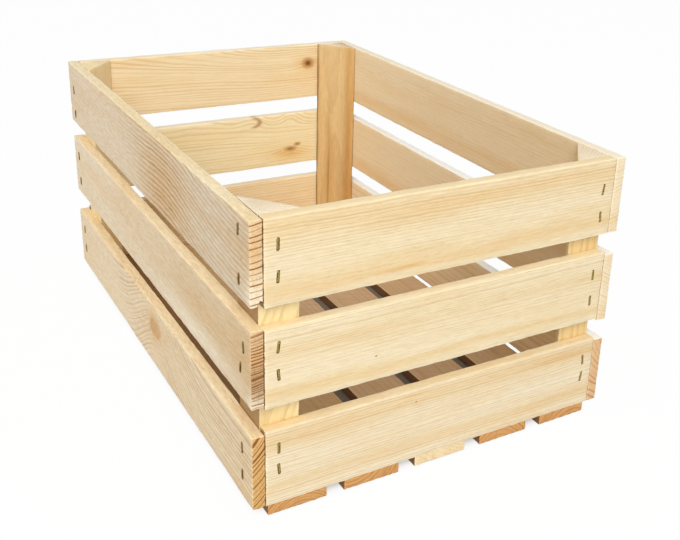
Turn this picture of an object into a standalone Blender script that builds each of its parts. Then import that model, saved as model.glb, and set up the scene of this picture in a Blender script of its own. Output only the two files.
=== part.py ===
"""A slatted pine crate: three rows of sawn slats stapled to triangular corner posts, on five floor slats.

Metres, +Z up. The origin is on the ground under the middle of the crate, X runs across it and Y along it,
with the front at -Y.
"""

import math

import bmesh
import bpy
from mathutils import Matrix, Vector

# Outside of the crate
CRATE_LENGTH = 0.600
CRATE_WIDTH = 0.400

# Wall slats, row by row from the bottom. They are sawn to slightly different heights, and what they leave of the
# wall is shared between the two spacings.
SLAT_THICKNESS = 0.012
WALL_HEIGHT = 0.2777
ROWS = ("bottom", "middle", "top")
SLAT_HEIGHTS = {
    "front": (0.0780, 0.0764, 0.0801),
    "back": (0.0780, 0.0780, 0.0780),
    "left": (0.0749, 0.0754, 0.0775),
    "right": (0.0754, 0.0759, 0.0796),
}
LOWER_SPACING_SHARE = {"front": 0.52, "back": 0.50, "left": 0.57, "right": 0.48}

# Floor slats: as many as fit with the least spacing, then spread evenly
FLOOR_THICKNESS = 0.012
FLOOR_SLAT_WIDTH = 0.0596
FLOOR_LEAST_SPACING = 0.015
FLOOR_SIDE_GAP = 0.003
FLOOR_END_INSET = 0.002

# Corner posts: a right triangle in plan, with both sharp tips blunted
POST_LEG_ACROSS = 0.038
POST_LEG_ALONG = 0.045
POST_TIP = 0.002

# Staples of flat wire. On the walls they stand off from the square corner of the post.
STAPLE_CROWN = 0.0112
STAPLE_WIRE_WIDTH = 0.0016
STAPLE_WIRE_DEPTH = 0.0013
STAPLE_BITE = 0.010
STAPLE_POINT = 0.002
STAPLE_INNER_RADIUS = 0.0003
STAPLE_BEND_STEPS = 3
END_STAPLE_OFFSET = 0.013
SIDE_STAPLE_OFFSET = 0.0107
FLOOR_STAPLE_OFFSET = 0.014
STAPLE_EDGE_MARGIN = 0.004

# Clearances and small edge forms
JOINT_GAP = 0.0003
STAPLE_SINK = 0.0003
ARRIS = 0.0008

# Where each staple sits on its slat, row by row from the bottom: 0 is the middle of the slat, 1 its upper
# edge and -1 its lower edge, less the margin. Staples are driven by hand, so no two corners are alike.
END_STAPLE_RISE = {
    "front_left": (0.65, 0.71, 0.53),
    "front_right": (0.54, 0.53, 0.31),
    "back_left": (0.48, 0.60, 0.44),
    "back_right": (0.58, 0.42, 0.53),
}
SIDE_STAPLE_RISE = {
    "front_left": (-0.47, -0.23, -0.71),
    "front_right": (-0.42, -0.36, -0.55),
    "back_left": (-0.44, -0.68, -0.87),
    "back_right": (-0.60, -0.30, -0.46),
}

# Sawn pine, each kind of board in its own shade, and lacquered staple wire: base colour, roughness, metallic
FINISHES = {
    "end_pine": ((0.80, 0.63, 0.38), 0.62, 0.0),
    "side_pine": ((0.66, 0.51, 0.35), 0.70, 0.0),
    "post_pine": ((0.74, 0.52, 0.26), 0.60, 0.0),
    "floor_pine": ((0.58, 0.41, 0.25), 0.75, 0.0),
    "staple_wire": ((0.42, 0.31, 0.13), 0.38, 1.0),
}

WALL_BASE = FLOOR_THICKNESS + JOINT_GAP
SIDE_CENTRE = (CRATE_WIDTH - SLAT_THICKNESS) / 2
END_CENTRE = (CRATE_LENGTH - SLAT_THICKNESS) / 2
POST_CORNER_X = CRATE_WIDTH / 2 - SLAT_THICKNESS - JOINT_GAP
POST_CORNER_Y = CRATE_LENGTH / 2 - SLAT_THICKNESS - JOINT_GAP
END_SLAT_LENGTH = 2 * POST_CORNER_X
FLOOR_SPAN = CRATE_WIDTH - 2 * (SLAT_THICKNESS + FLOOR_SIDE_GAP)

SIDES = {"left": -1, "right": 1}
ENDS = {"front": -1, "back": 1}


def clear_scene():
    for thing in list(bpy.data.objects):
        bpy.data.objects.remove(thing)


def make_finish(name, colour, roughness, metallic):
    finish = bpy.data.materials.new(name)
    finish.use_nodes = True
    shader = finish.node_tree.nodes["Principled BSDF"]
    shader.inputs["Base Color"].default_value = (*colour, 1.0)
    shader.inputs["Roughness"].default_value = roughness
    shader.inputs["Metallic"].default_value = metallic
    return finish


def place(name, shape, finish, location, turn=None):
    """An object from a bmesh, standing at a location and turned by a rotation matrix."""
    mesh = bpy.data.meshes.new(name)
    bmesh.ops.recalc_face_normals(shape, faces=shape.faces)
    shape.to_mesh(mesh)
    shape.free()
    thing = bpy.data.objects.new(name, mesh)
    bpy.context.scene.collection.objects.link(thing)
    thing.location = location
    if turn:
        thing.rotation_euler = turn.to_euler()
    if finish:
        mesh.materials.append(finish)
        thing.parent = crate
    return thing


def extruded(outline, height):
    """A prism from an outline in the XY plane, standing on it."""
    shape = bmesh.new()
    base = shape.faces.new([shape.verts.new((x, y, 0.0)) for x, y in outline])
    raised = bmesh.ops.extrude_face_region(shape, geom=[base])["geom"]
    top = [corner for corner in raised if isinstance(corner, bmesh.types.BMVert)]
    bmesh.ops.translate(shape, vec=(0.0, 0.0, height), verts=top)
    return shape


def ease_arrises(shape):
    edges = shape.edges[:]
    bmesh.ops.bevel(
        shape, geom=edges, offset=ARRIS, segments=1, profile=0.5, affect="EDGES", clamp_overlap=True
    )


def make_board(name, finish, size, location):
    """A sawn board with its sharp edges taken off."""
    shape = bmesh.new()
    bmesh.ops.create_cube(shape, size=1.0)
    bmesh.ops.scale(shape, vec=size, verts=shape.verts)
    ease_arrises(shape)
    return place(name, shape, finish, location)


def row_middle(wall, row):
    """The height of the middle of a wall's slat."""
    heights = SLAT_HEIGHTS[wall]
    room = WALL_HEIGHT - sum(heights)
    spacing_below = (0.0, room * LOWER_SPACING_SHARE[wall], room)
    return WALL_BASE + sum(heights[:row]) + spacing_below[row] + heights[row] / 2


def make_walls():
    """Side slats run the full length, and the end slats fit between them."""
    slats = {}
    for row, level in enumerate(ROWS):
        for side, sign in SIDES.items():
            size = (SLAT_THICKNESS, CRATE_LENGTH, SLAT_HEIGHTS[side][row])
            spot = (sign * SIDE_CENTRE, 0.0, row_middle(side, row))
            slats[side, row] = make_board(f"{side}_slat_{level}", finishes["side_pine"], size, spot)
        for end, sign in ENDS.items():
            size = (END_SLAT_LENGTH, SLAT_THICKNESS, SLAT_HEIGHTS[end][row])
            spot = (0.0, sign * END_CENTRE, row_middle(end, row))
            slats[end, row] = make_board(f"{end}_slat_{level}", finishes["end_pine"], size, spot)
    return slats


def make_posts():
    """Triangular posts: the square corner faces both walls, and the long face looks into the crate."""
    outline = [
        (0.0, 0.0),
        (POST_LEG_ACROSS, 0.0),
        (POST_LEG_ACROSS, POST_TIP),
        (POST_TIP, POST_LEG_ALONG),
        (0.0, POST_LEG_ALONG),
    ]
    posts = {}
    for end, end_sign in ENDS.items():
        for side, side_sign in SIDES.items():
            corner = [(-side_sign * x, -end_sign * y) for x, y in outline]
            shape = extruded(corner, WALL_HEIGHT)
            ease_arrises(shape)
            spot = (side_sign * POST_CORNER_X, end_sign * POST_CORNER_Y, WALL_BASE)
            posts[end, side] = place(f"{end}_{side}_post", shape, finishes["post_pine"], spot)
    return posts


def make_floor():
    count = math.floor((FLOOR_SPAN + FLOOR_LEAST_SPACING) / (FLOOR_SLAT_WIDTH + FLOOR_LEAST_SPACING))
    pitch = (FLOOR_SPAN - FLOOR_SLAT_WIDTH) / (count - 1)
    size = (FLOOR_SLAT_WIDTH, CRATE_LENGTH - 2 * FLOOR_END_INSET, FLOOR_THICKNESS)
    floor = []
    for index in range(count):
        spot = ((FLOOR_SLAT_WIDTH - FLOOR_SPAN) / 2 + index * pitch, 0.0, FLOOR_THICKNESS / 2)
        floor.append(make_board(f"floor_slat_{index + 1}", finishes["floor_pine"], size, spot))
    return floor


def staple_outline(leg):
    """Half of the staple's outline, from the middle of the crown's outer face to that of its inner face."""
    half = STAPLE_CROWN / 2
    outer_radius = STAPLE_INNER_RADIUS + STAPLE_WIRE_DEPTH
    hub = Vector((half - outer_radius, -outer_radius))
    angles = [math.pi / 2 * (1 - step / STAPLE_BEND_STEPS) for step in range(STAPLE_BEND_STEPS + 1)]
    spokes = [Vector((math.cos(angle), math.sin(angle))) for angle in angles]
    outer = [hub + outer_radius * spoke for spoke in spokes]
    inner = [hub + STAPLE_INNER_RADIUS * spoke for spoke in reversed(spokes)]
    point = [(half, STAPLE_POINT - leg), (half - STAPLE_WIRE_DEPTH, -leg)]
    return outer + point + inner


def upright(right_half, width):
    """A prism in the XZ plane, centred on it, from the right half of an outline with two like halves."""
    left_half = [(-x, z) for x, z in reversed(right_half)]
    shape = extruded([*right_half, *left_half], width)
    stand = Matrix.Translation((0.0, width / 2, 0.0)) @ Matrix.Rotation(math.pi / 2, 4, "X")
    bmesh.ops.transform(shape, matrix=stand, verts=shape.verts)
    return shape


def staple_shape(leg):
    """A staple with its crown along X, its legs down -Z and its wire's width along Y."""
    return upright(staple_outline(leg), STAPLE_WIRE_WIDTH)


def slit_shape(leg):
    """The slit that a staple cuts: its own shape with a clearance all round, open above the crown."""
    half = STAPLE_CROWN / 2 + JOINT_GAP
    wall = STAPLE_WIRE_DEPTH + 2 * JOINT_GAP
    above = STAPLE_SINK + STAPLE_WIRE_DEPTH
    below = -leg - JOINT_GAP
    bridge = -STAPLE_WIRE_DEPTH - JOINT_GAP
    right = [(half, above), (half, below), (half - wall, below), (half - wall, bridge)]
    return upright(right, STAPLE_WIRE_WIDTH + 2 * JOINT_GAP)


def drive_staple(name, spot, outward, crown, leg, pieces):
    """A staple with its crown just under the surface at a spot, and its slit through the pieces it joins."""
    outward, crown = Vector(outward), Vector(crown)
    turn = Matrix((crown, outward.cross(crown), outward)).transposed()
    sunk = Vector(spot) - STAPLE_SINK * outward
    place(name, staple_shape(leg), finishes["staple_wire"], sunk, turn)
    slit = place(f"{name}_slit", slit_shape(leg), None, sunk, turn)
    slit.hide_render = True
    slit.display_type = "WIRE"
    for piece in pieces:
        cut = piece.modifiers.new(slit.name, "BOOLEAN")
        cut.operation = "DIFFERENCE"
        cut.object = slit


def staple_height(wall, row, rise):
    """The height of a staple's middle, from its place on its slat."""
    reach = (SLAT_HEIGHTS[wall][row] - STAPLE_CROWN) / 2 - STAPLE_EDGE_MARGIN
    return row_middle(wall, row) + rise * reach


def staple_walls(slats, posts):
    """One staple through each end of each slat into its post, with the crown upright."""
    leg = SLAT_THICKNESS - STAPLE_SINK + JOINT_GAP + STAPLE_BITE
    for (end, side), post in posts.items():
        end_sign = ENDS[end]
        side_sign = SIDES[side]
        for row, level in enumerate(ROWS):
            height = staple_height(end, row, END_STAPLE_RISE[f"{end}_{side}"][row])
            spot = (side_sign * (POST_CORNER_X - END_STAPLE_OFFSET), end_sign * CRATE_LENGTH / 2, height)
            pieces = (slats[end, row], post)
            drive_staple(f"{end}_staple_{level}_{side}", spot, (0, end_sign, 0), (0, 0, 1), leg, pieces)
            height = staple_height(side, row, SIDE_STAPLE_RISE[f"{end}_{side}"][row])
            spot = (side_sign * CRATE_WIDTH / 2, end_sign * (POST_CORNER_Y - SIDE_STAPLE_OFFSET), height)
            pieces = (slats[side, row], post)
            drive_staple(f"{side}_staple_{level}_{end}", spot, (side_sign, 0, 0), (0, 0, 1), leg, pieces)


def staple_floor(floor, slats):
    """One staple up through each end of each floor slat into the lower edge of the end slat above it."""
    leg = FLOOR_THICKNESS - STAPLE_SINK + JOINT_GAP + STAPLE_BITE
    for number, board in enumerate(floor, 1):
        for end, sign in ENDS.items():
            spot = (board.location.x + sign * FLOOR_STAPLE_OFFSET, sign * END_CENTRE, 0.0)
            pieces = (board, slats[end, 0])
            drive_staple(f"floor_staple_{number}_{end}", spot, (0, 0, -1), (1, 0, 0), leg, pieces)


clear_scene()
crate = bpy.data.objects.new("crate", None)
bpy.context.scene.collection.objects.link(crate)
finishes = {name: make_finish(name, *look) for name, look in FINISHES.items()}
wall_slats = make_walls()
corner_posts = make_posts()
floor_slats = make_floor()
staple_walls(wall_slats, corner_posts)
staple_floor(floor_slats, wall_slats)
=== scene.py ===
# %% [markdown]
# # A slatted pine crate
# The crate is made of sawn pine that nobody planed: twelve wall slats, four three-cornered posts, five
# floor slats and the wire staples that hold them. The measured solids come in as a fixed frame. This
# lesson saws every board again at its own size and place, wears its edges, gives it its own grain, and
# drives the staples.

# %% Load the measured crate
import math

import bmesh
import bpy
from mathutils import Matrix, Vector


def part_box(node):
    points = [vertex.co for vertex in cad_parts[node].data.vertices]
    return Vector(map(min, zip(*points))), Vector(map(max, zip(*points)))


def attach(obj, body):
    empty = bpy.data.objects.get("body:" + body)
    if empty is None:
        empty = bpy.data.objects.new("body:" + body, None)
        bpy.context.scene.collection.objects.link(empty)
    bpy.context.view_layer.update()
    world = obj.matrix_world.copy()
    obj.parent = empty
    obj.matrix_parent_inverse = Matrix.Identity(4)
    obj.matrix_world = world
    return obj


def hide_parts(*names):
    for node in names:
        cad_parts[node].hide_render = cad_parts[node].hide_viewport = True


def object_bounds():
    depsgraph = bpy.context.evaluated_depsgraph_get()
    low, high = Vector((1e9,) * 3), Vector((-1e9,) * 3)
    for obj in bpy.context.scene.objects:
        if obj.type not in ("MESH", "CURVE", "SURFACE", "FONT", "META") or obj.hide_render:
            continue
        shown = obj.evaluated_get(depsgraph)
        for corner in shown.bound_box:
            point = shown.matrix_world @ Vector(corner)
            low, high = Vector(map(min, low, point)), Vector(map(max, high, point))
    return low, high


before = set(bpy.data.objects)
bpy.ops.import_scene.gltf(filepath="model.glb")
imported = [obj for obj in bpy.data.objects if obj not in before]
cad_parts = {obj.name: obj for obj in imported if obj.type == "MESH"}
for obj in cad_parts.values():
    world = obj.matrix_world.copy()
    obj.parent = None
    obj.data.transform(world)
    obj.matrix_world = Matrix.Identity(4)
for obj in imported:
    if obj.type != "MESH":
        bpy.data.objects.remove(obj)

cad_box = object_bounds()
cad_size = cad_box[1] - cad_box[0]
print("nodes", len(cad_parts), "box", [round(side, 4) for side in cad_size])

# %% [markdown]
# ## The camera
# The picture looks down at the front left corner of the crate. A camera could be pushed about by hand
# until the edges agree. Here the place of the lens was worked out from the corners of the slats, whose
# real places are known. The lens doesn't look at the middle of the picture, so a small shift moves the
# frame without turning the camera.

# %% Set up the camera
# The picture's size, the point that the lens looks at and the focal length, in pixels
PICTURE = (680, 540)
LENS_AXIS = (400, 200)
FOCAL_PIXELS = 960.3
CAMERA_SPOT = (-0.4658, -0.9550, 0.5793)
CAMERA_PITCH = 1.2070
CAMERA_ROLL = 0.0441
CAMERA_TURN = -0.5535

lens = bpy.data.cameras.new("camera")
lens.lens = FOCAL_PIXELS * lens.sensor_width / PICTURE[0]
lens.shift_x = (PICTURE[0] / 2 - LENS_AXIS[0]) / PICTURE[0]
lens.shift_y = (LENS_AXIS[1] - PICTURE[1] / 2) / PICTURE[0]
camera = bpy.data.objects.new("camera", lens)
bpy.context.scene.collection.objects.link(camera)
aim = Matrix.Rotation(CAMERA_TURN, 4, "Z") @ Matrix.Rotation(CAMERA_PITCH, 4, "X")
camera.matrix_world = Matrix.Translation(CAMERA_SPOT) @ aim @ Matrix.Rotation(CAMERA_ROLL, 4, "Z")
bpy.context.scene.camera = camera
print("lens", round(lens.lens, 1), "mm, shift", round(lens.shift_x, 3), round(lens.shift_y, 3))

# %% [markdown]
# ## Shader maths in plain expressions
# A finish is a graph of nodes, and most of them do sums. They could be added and linked one by one, but a
# short formula would fill a page. Wrapping a socket in a small class lets Python's own operators add the
# nodes, so a line of code reads like the formula it stands for.

# %% A wire that can do sums
# How far each seed moves a noise along the three axes
SEED_STEPS = (1.0, 2.7, 5.1)
# Wood turns redder as it darkens, so its red changes least and its blue most
SHADE_SHARES = (0.7, 1.0, 1.4)


class Wire:
    """One output of a node. Sums with it add Math nodes to its tree."""

    def __init__(self, tree, socket=None):
        self.tree = tree
        self.socket = socket

    def node(self, kind, settings=None, sockets=None, out=0):
        """Add any node: first its settings, then the values or wires of its sockets."""
        added = self.tree.nodes.new(kind)
        for key, value in (settings or {}).items():
            setattr(added, key, value)
        for key, value in (sockets or {}).items():
            if isinstance(value, Wire):
                self.tree.links.new(value.socket, added.inputs[key])
            else:
                added.inputs[key].default_value = value
        return Wire(self.tree, added.outputs[out])

    def other(self, out):
        """Another output of the same node."""
        return Wire(self.tree, self.socket.node.outputs[out])

    def feed(self, socket):
        self.tree.links.new(self.socket, socket)

    def math(self, operation, *values):
        return self.node("ShaderNodeMath", {"operation": operation}, dict(enumerate(values)))

    def vector(self, operation, *values):
        return self.node("ShaderNodeVectorMath", {"operation": operation}, dict(enumerate(values)))

    def __add__(self, value):
        return self.math("ADD", self, value)

    def __radd__(self, value):
        return self.math("ADD", value, self)

    def __sub__(self, value):
        return self.math("SUBTRACT", self, value)

    def __rsub__(self, value):
        return self.math("SUBTRACT", value, self)

    def __mul__(self, value):
        return self.math("MULTIPLY", self, value)

    def __rmul__(self, value):
        return self.math("MULTIPLY", value, self)

    def __truediv__(self, value):
        return self.math("DIVIDE", self, value)

    def __rtruediv__(self, value):
        return self.math("DIVIDE", value, self)

    def __neg__(self):
        return self.math("MULTIPLY", self, -1.0)

    def __abs__(self):
        return self.math("ABSOLUTE", self)

    def least(self, value):
        return self.math("MINIMUM", self, value)

    def most(self, value):
        return self.math("MAXIMUM", self, value)

    def step(self, low, high):
        """0 below low and 1 above high, with a smooth rise between them."""
        sockets = {"Value": self, "From Min": low, "From Max": high}
        return self.node("ShaderNodeMapRange", {"interpolation_type": "SMOOTHSTEP"}, sockets)

    def bell(self, middle, width):
        """1 at the middle, falling off on both sides."""
        across = (self - middle) / width
        return self.math("EXPONENT", -(across * across))

    def noise(self, lumps, seed, detail=2.0, roughness=0.5):
        """Noise between about -0.5 and 0.5 at this point, with lumps of the given size along each axis."""
        scale = [1 / size for size in lumps]
        shift = [step * seed for step in SEED_STEPS]
        point = self.vector("MULTIPLY_ADD", self, scale, shift)
        sockets = {"Vector": point, "Scale": 1.0, "Detail": detail, "Roughness": roughness}
        return self.node("ShaderNodeTexNoise", sockets=sockets) - 0.5

    def blend(self, factor, first, second, kind="MIX"):
        """The first colour, which a factor of 1 turns into the second one or multiplies by it."""
        settings = {"data_type": "RGBA", "blend_type": kind}
        return self.node("ShaderNodeMix", settings, {0: factor, 6: first, 7: second}, out=2)

    def mixed(self, factor, second, kind="MIX"):
        """This colour, blended with a second one."""
        return self.blend(factor, self, second, kind)

    def shaded(self, amount):
        """This colour, made lighter or darker by a number around 0."""
        shade = amount.vector("MULTIPLY_ADD", amount, SHADE_SHARES, (1.0, 1.0, 1.0))
        return self.vector("MULTIPLY", self, shade)


# %% Colours and finishes
def colour(red, green, blue):
    """A screen colour from 0 to 255, as the light that Blender reckons with."""
    shares = [part / 255 for part in (red, green, blue)]
    return [s / 12.92 if s <= 0.04045 else ((s + 0.055) / 1.055) ** 2.4 for s in shares] + [1.0]


def new_finish(name):
    """An empty material with its shader, and a wire to start its formulas from."""
    material = bpy.data.materials.new(name)
    material.use_nodes = True
    return material, material.node_tree.nodes["Principled BSDF"], Wire(material.node_tree)


print("orange as light", [round(part, 3) for part in colour(255, 128, 0)])

# %% [markdown]
# ## Floor and light
# The crate was photographed as goods are: on white, in soft light from the front and a little from the
# left. More light would turn the floor white, but it would bleach the pine too. So the crate is lit at a
# plain level by the sky and one large lamp, and the floor glows only to the eye. It keeps a little of the
# shadow, and below the crate it doesn't glow at all.

# %% Lay the floor
FLOOR_SIZE = 14.0
FLOOR_DROP = 0.0008
FLOOR_PALE = (0.7, 0.7, 0.7, 1.0)
# The floor's colour below the crate, a painted shade
PAINTED_FLOOR_SHADE = (0.27, 0.23, 0.19, 1.0)
FLOOR_GLOW = 0.95
COVER_FADE = 0.03
WHITE = (1.0, 1.0, 1.0, 1.0)


def seen_rays(start):
    """1 for rays that only show a surface: straight from the eye, mirrored, or through glass."""
    rays = start.node("ShaderNodeLightPath", out="Is Camera Ray")
    return rays.most(rays.other("Is Glossy Ray")).most(rays.other("Is Transmission Ray"))


# The mask of the floor's painted shade below the crate
def under_crate(start):
    """1 on the floor below the crate, falling to 0 at its walls."""
    place = start.node("ShaderNodeTexCoord", out="Object")
    parts = place.node("ShaderNodeSeparateXYZ", sockets={0: place})
    half = cad_size / 2
    inside = [1 - abs(parts.other(axis)).step(half[axis] - COVER_FADE, half[axis]) for axis in range(2)]
    return inside[0] * inside[1]


def lay_floor():
    bpy.ops.object.select_all(action="DESELECT")
    bpy.ops.mesh.primitive_plane_add(size=FLOOR_SIZE, location=(0.0, 0.0, -FLOOR_DROP))
    floor = bpy.context.active_object
    floor.name = "studio_floor"
    paper, shader, start = new_finish("floor_paper")
    plain = start.node("ShaderNodeBsdfDiffuse", sockets={"Color": FLOOR_PALE})
    # Painted shade: below the crate the floor turns darker and stops glowing
    covered = under_crate(start)
    ground = start.blend(covered, WHITE, PAINTED_FLOOR_SHADE)
    lit = start.node("ShaderNodeBsdfDiffuse", sockets={"Color": ground})
    glow = start.node("ShaderNodeEmission", sockets={"Color": WHITE, "Strength": 1.0})
    bright = start.node("ShaderNodeMixShader", sockets={0: (1 - covered) * FLOOR_GLOW, 1: lit, 2: glow})
    both = start.node("ShaderNodeMixShader", sockets={0: seen_rays(start), 1: plain, 2: bright})
    paper.node_tree.nodes.remove(shader)
    both.feed(paper.node_tree.nodes["Material Output"].inputs["Surface"])
    floor.data.materials.append(paper)


lay_floor()
print("floor", FLOOR_SIZE, "m wide")

# %% Hang the sky and the lamp
SKY_STRENGTH = 0.57
LAMP_SPOT = Vector((-1.9, -3.0, 2.7))
LAMP_TARGET = Vector((0.0, 0.0, 0.1))
LAMP_SIZE = 2.1
LAMP_POWER = 120.0


def hang_sky():
    sky = bpy.data.worlds.new("studio_sky")
    sky.use_nodes = True
    start = Wire(sky.node_tree)
    light = start.node("ShaderNodeBackground", sockets={0: WHITE, 1: SKY_STRENGTH})
    white = start.node("ShaderNodeBackground", sockets={0: WHITE, 1: 1.0})
    both = start.node("ShaderNodeMixShader", sockets={0: seen_rays(start), 1: light, 2: white})
    both.feed(sky.node_tree.nodes["World Output"].inputs["Surface"])
    bpy.context.scene.world = sky


def hang_lamp():
    light = bpy.data.lights.new("softbox", "AREA")
    light.size = LAMP_SIZE
    light.energy = LAMP_POWER
    lamp = bpy.data.objects.new("softbox", light)
    bpy.context.scene.collection.objects.link(lamp)
    lamp.location = LAMP_SPOT
    lamp.rotation_euler = (LAMP_TARGET - LAMP_SPOT).to_track_quat("-Z", "Y").to_euler()


hang_sky()
hang_lamp()
bpy.context.scene.view_settings.view_transform = "Standard"
print("lamp", round((LAMP_SPOT - LAMP_TARGET).length, 2), "m away")

# %% [markdown]
# ## How pine looks
# A pine board is a slice through a cone of yearly rings. Each ring is pale where it grew in spring and
# turns to orange brown where it grew in summer. A flat picture of wood would not agree from one face to the
# next. So the finish works out how far each point of the board lay from the heart of the tree and draws the
# rings there: straight lines, flames and end grain then all agree. What differs from board to board is a
# look: some shades, the place of the heart, and lists of marks.

# %% The shades of pine
# Faces, edges and ends, as screen colours
CREAM = (240, 224, 188)
OAT = (240, 226, 195)
STRAW = (246, 228, 188)
BLONDE = (250, 238, 212)
PAINTED_HIGHLIGHT_IVORY = (255, 252, 244)
SHELL = (248, 231, 202)
BISCUIT = (244, 227, 192)
GREYED = (246, 227, 195)
BARLEY = (246, 225, 189)
LINEN = (238, 217, 186)
FLAX = (237, 217, 182)
ASHEN = (224, 206, 178)
DUN = (225, 201, 163)
DUNE = (234, 209, 168)
WHEAT = (234, 207, 166)
HAY = (220, 191, 149)
TAN = (250, 229, 191)
SAND = (247, 224, 182)
GOLD = (253, 233, 190)
PAINTED_LIGHT_CREAM = (255, 233, 184)
PALE_GOLD = (253, 234, 184)
PRIMROSE = (255, 241, 197)
BUTTER = (246, 226, 172)
CORN = (238, 209, 151)
PEACH = (240, 204, 156)
APRICOT = (228, 188, 140)
AMBER = (231, 196, 139)
TOFFEE = (218, 182, 122)
HONEY = (222, 179, 114)
OCHRE = (216, 164, 102)
DUSTY = (213, 182, 145)
FAWN = (210, 178, 133)
SHADED = (176, 140, 96)
PAINTED_SHADE_BROWN = (146, 110, 68)
PAINTED_SHADE_UMBER = (128, 91, 56)
# Shades that multiply those of the wood, as light
WARM = (0.95, 0.85, 0.70, 1.0)
SUMMER = (0.62, 0.46, 0.32, 1.0)
ORANGE_SUMMER = (0.74, 0.53, 0.31, 1.0)
DARK_SUMMER = (0.50, 0.36, 0.23, 1.0)
END_SUMMER = (0.50, 0.26, 0.11, 1.0)
DARK_END = (0.38, 0.22, 0.10, 1.0)
# Stains, and painted shade in corners and along gaps
STAIN_AND_SHADE = (0.30, 0.19, 0.09, 1.0)
# Shades that cover the wood, as light
# Dirt at joints, and painted shade in joints and at the bottoms of slits
DIRT_AND_PAINTED_SHADE = (0.10, 0.06, 0.025, 1.0)
KNOT_HEART = (0.16, 0.07, 0.025, 1.0)
KNOT_WOOD = (0.58, 0.30, 0.11, 1.0)
KNOT_RIM = (0.42, 0.19, 0.06, 1.0)
print("summer wood keeps", SUMMER[0], "of the red light and", SUMMER[2], "of the blue")

# %% A plain look
# Lengths are in millimetres. Places are measured from the board's middle, along the fibre, then across it.
PLAIN_LOOK = {
    # The faces, and the same faces at the front end or at a post's foot, darker there as painted shade
    # The edges, whose tone also holds painted light and shade, the ends, the summer wood
    "tone": STRAW,
    "painted_shade_end_tone": None,
    "edge_tone_and_painted_shading": STRAW,
    "end_tone": PEACH,
    "summer": SUMMER,
    "end_summer": END_SUMMER,
    # The heart of the tree across and through the board, where it moves to, and between which places along
    "heart": (-160, 40),
    "far_heart": None,
    "turn": (-100, 100),
    # A ring's width, its share of summer wood, by how many rings widths wander, how strengths differ
    "ring": 4.0,
    "late": 0.55,
    "unsteady": 2.5,
    "varied": 0.6,
    # How far slow waves and quick ripples push the rings
    "sway": 5.0,
    "ripple": 0.8,
    # Strength of the lines on the faces, the share of it on the edges, and the strength on the ends
    "lines": 0.45,
    "edge_lines": 0.35,
    "end_lines": 0.8,
    # How much summer wood begins to show on an end, and how much shows fully
    "end_band": (0.15, 0.75),
    # Between which places across the lines fade in, and how far that moves for each step along
    "fade": None,
    # A place along, a length, and the share of the lines that is lost away from there, or gained if below 0
    "flare": None,
    # Saw marks, grit, dirt and painted shade at ends that butt against a board, painted shade in staple
    # slits
    "saw": 0.0,
    "grit": 0.12,
    "butt": False,
    "slits": True,
    # Warm streaks: a place across, a width and a strength
    "streaks": (),
    # Warm patches, pale ones and dark stains: a place, a length, a width and a strength
    # Some warm patches and dark stains are painted shade in corners and along gaps
    "patches_and_shade": (),
    "pales": (),
    "stains_and_shade": (),
    # Bulges of the rings: a place, a length, a width and a height
    "swells": (),
    # Knots, and rims on one side of grown-in ones: a place, a radius, a stretch along and a strength
    "knots": (),
    "crescents": (),
}
print("a plain board is", PLAIN_LOOK["tone"], "with rings of", PLAIN_LOOK["ring"], "mm")

# %% [markdown]
# ## A board's own axes
# Fibres run along a board, whichever way it lies in the crate. So each board's finish has axes of its own,
# in millimetres from its middle: u along the fibre, v across the board and w through it. Wood is a bundle
# of fibres, and so most of its noises are drawn out along u.

# %% Where a point lies in its board
MILLIMETRES = 1000.0
# How far a surface has to lean towards an axis to begin to count as facing it, and to count fully
FACING = (0.55, 0.85)
# Lumps in millimetres along u, v and w, a seed of its own, and the detail and roughness where they differ
NOISES = {
    "waves": ((170, 50, 50), 0),
    "ripples": ((24, 9, 40), 3),
    "fibres": ((36, 0.9, 0.9), 5, 4.0, 0.65),
    "clouds": ((190, 24, 24), 7),
    "pores": ((6, 0.45, 0.45), 9),
    "fuzz": ((9, 2, 2), 13),
    "saw": ((2.4, 70, 70), 17, 3.0),
    "joint": ((3, 4, 4), 19),
    "specks": ((1.3, 1.3, 1.3), 21, 3.0),
    "grit": ((12, 2.2, 2.2), 23, 3.0, 0.75),
    "streaks": ((120, 16, 16), 0),
    "patches_and_shade": ((30, 9, 9), 0),
    "stains_and_shade": ((60, 9, 9), 0),
    "rims": ((4, 4, 4), 0),
}


class Board:
    """A board as its finish sees it: its look, and where each point lies in it."""

    def __init__(self, start, axes, low, high, look, seed):
        centre = (low + high) * (MILLIMETRES / 2)
        place = start.node("ShaderNodeTexCoord", out="Object")
        place = place.vector("MULTIPLY_ADD", place, (MILLIMETRES,) * 3, -centre)
        parts = place.node("ShaderNodeSeparateXYZ", sockets={0: place})
        self.start = start
        self.look = look
        self.seed = seed
        self.u, self.v, self.w = [parts.other(axis) for axis in axes]
        self.spot = place.node("ShaderNodeCombineXYZ", sockets={0: self.u, 1: self.v, 2: self.w})
        self.half = [(high[axis] - low[axis]) * (MILLIMETRES / 2) for axis in axes]
        # How deep a point lies below the ends, the edges and the faces
        self.depths = [half - abs(way) for half, way in zip(self.half, (self.u, self.v, self.w))]

    def noise(self, kind, shift=0, spot=None):
        """One of the noises in the wood. A shift gives each mark a noise of its own."""
        lumps, own_seed, *texture = NOISES[kind]
        return (spot or self.spot).noise(lumps, self.seed + own_seed + shift, *texture)

    def facing(self, axis):
        """1 where the surface looks along an axis of the crate, either way."""
        normal = self.start.node("ShaderNodeNewGeometry", out="Normal")
        parts = normal.node("ShaderNodeSeparateXYZ", sockets={0: normal})
        return abs(parts.other(axis)).step(*FACING)

    def spread(self, at_u, at_v, long, wide):
        """1 at a place on the board, falling off over a length and a width."""
        return self.u.bell(at_u, long) * self.v.bell(at_v, wide)


print("noises in the wood:", ", ".join(NOISES))

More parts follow.
